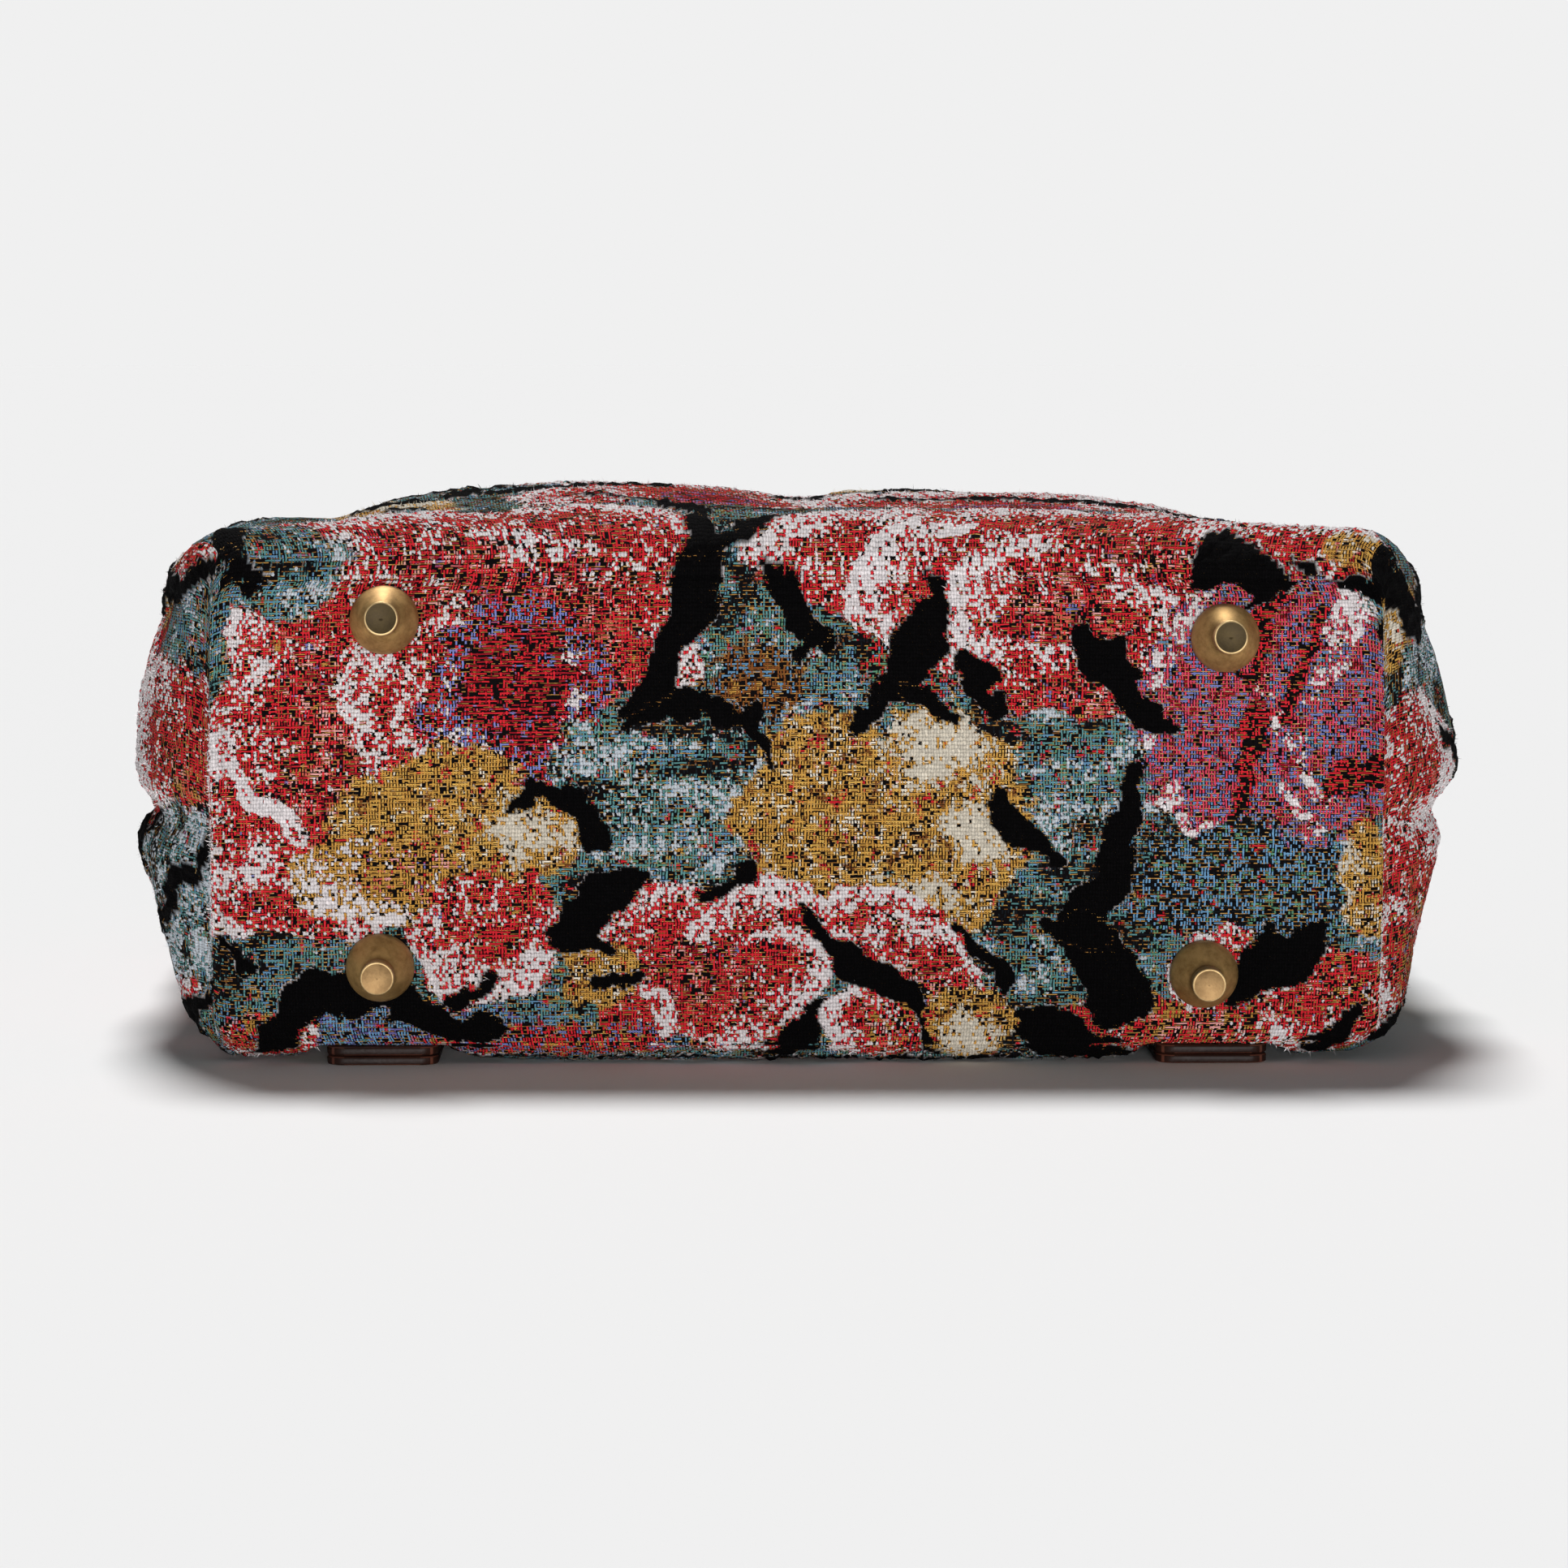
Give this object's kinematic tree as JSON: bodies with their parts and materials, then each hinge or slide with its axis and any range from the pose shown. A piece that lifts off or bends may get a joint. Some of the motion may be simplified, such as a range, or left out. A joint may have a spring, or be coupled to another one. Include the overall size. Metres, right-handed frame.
{
  "type": "backpack",
  "caption": "Tapestry backpack with a boxed bottom on brass feet, leather shoulder straps, a grab handle and a zipped mouth, lying on its back.",
  "frame": {"origin": "centre of the footprint on the surface that the bag lies on", "axes": "+Y up the bag from its bottom panel to its mouth, +Z out of the front panel, +X to the right when the bottom panel is looked at"},
  "size_m": [0.307, 0.4391, 0.1281],
  "materials": {
    "tapestry": "woven floral tapestry with pile",
    "lining": "plain weave cotton",
    "board": "matt",
    "antique_brass": "aged satin brass",
    "screw_brass": "satin",
    "leather": "smooth grain with painted edges",
    "zip_tape": "woven tape",
    "zip_brass": "aged satin brass"
  },
  "bodies": {
    "bag": {"outer_shell": "tapestry", "lining": "lining", "base_board": "board", "foot_front_left": "antique_brass", "foot_front_right": "antique_brass", "foot_back_left": "antique_brass", "foot_back_right": "antique_brass", "lower_ring_left": "antique_brass", "lower_ring_right": "antique_brass", "foot_washers": "screw_brass", "foot_screws": "screw_brass", "lower_tab_left": "leather", "lower_tab_right": "leather", "shoulder_strap_left": "leather", "shoulder_strap_right": "leather", "back_yoke": "leather", "grab_handle": "leather", "zip_tape_front": "zip_tape", "zip_tape_back": "zip_tape", "zip_chain_front": "zip_brass", "zip_chain_back": "zip_brass", "zip_top_stops": "zip_brass", "zip_bottom_stop": "zip_brass"},
    "slider": {"zip_slider": "zip_brass"},
    "pull": {"zip_pull": "zip_brass"}
  },
  "joints": [
    {"name": "zip_slide", "type": "slide", "parent": "bag", "child": "slider", "axis": [-1, 0, 0], "range_m": [0, 0.2494], "deforming": ["zip_chain_front", "zip_chain_back"]},
    {"name": "zip_pull_swing", "type": "hinge", "parent": "slider", "child": "pull", "pos_m": [0.1247, 0.09683, 0.02475], "axis": [0, 0, -1], "range_deg": [0, 180]}
  ]
}
